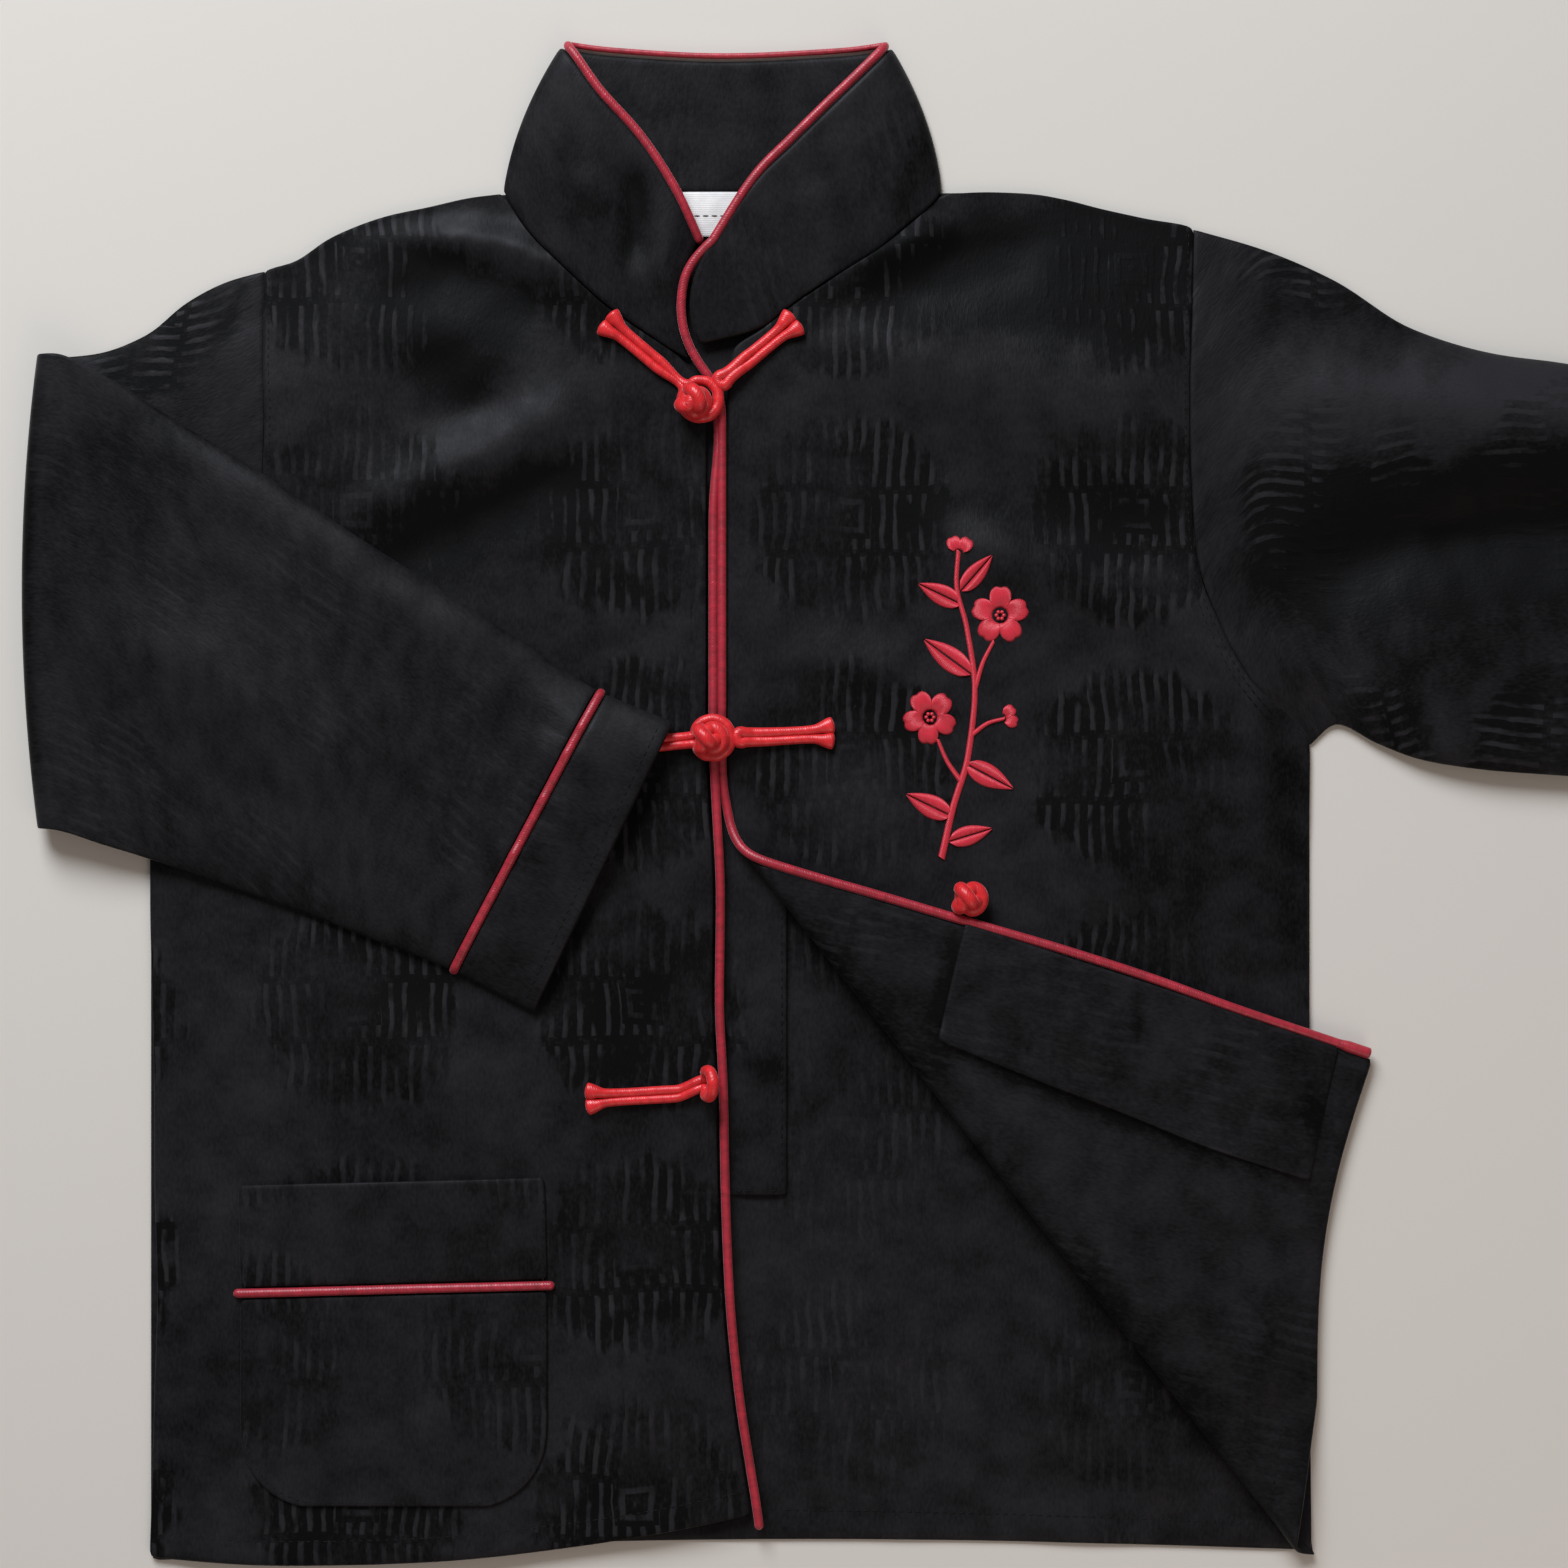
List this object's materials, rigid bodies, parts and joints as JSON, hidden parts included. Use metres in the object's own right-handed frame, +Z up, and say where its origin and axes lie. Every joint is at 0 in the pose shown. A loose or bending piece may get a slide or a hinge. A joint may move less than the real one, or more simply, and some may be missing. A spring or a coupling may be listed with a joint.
{
  "type": "tai chi jacket laid flat",
  "caption": "Child's tai chi jacket laid flat: stand collar, frog closures, piped edges, patch pocket, a sleeve folded over, the lower left front turned back.",
  "frame": {"origin": "middle of the bounding box, on the surface that the jacket lies on", "axes": "+X towards the wearer's left sleeve, +Y from the hem to the collar, +Z up out of the surface"},
  "size_m": [0.7828, 0.578, 0.0175],
  "materials": {
    "cloth": "black tone-on-tone jacquard satin, soft sheen",
    "piping": "rose-crimson satin bias piping over a cord",
    "frog_cord": "bright red satin cord and embroidery thread",
    "label": "blank white woven label"
  },
  "bodies": {
    "root": {"back": "cloth", "front_right": "cloth", "front_left": "cloth", "facing_left": "cloth", "under_placket": "cloth", "sleeve_right": "cloth", "cuff_right": "cloth", "sleeve_left": "cloth", "cuff_left": "cloth", "collar": "cloth", "pocket": "cloth", "pocket_band": "cloth", "cuff_piping_right": "piping", "cuff_piping_left": "piping", "collar_piping": "piping", "piping_right_front": "piping", "piping_left_front": "piping", "pocket_piping": "piping", "frog_1_loop": "frog_cord", "frog_1_tail": "frog_cord", "frog_1_knot": "frog_cord", "frog_2_loop": "frog_cord", "frog_2_tail": "frog_cord", "frog_2_knot": "frog_cord", "frog_3_loop": "frog_cord", "frog_3_tail": "frog_cord", "frog_3_knot": "frog_cord", "label": "label"}
  },
  "joints": []
}
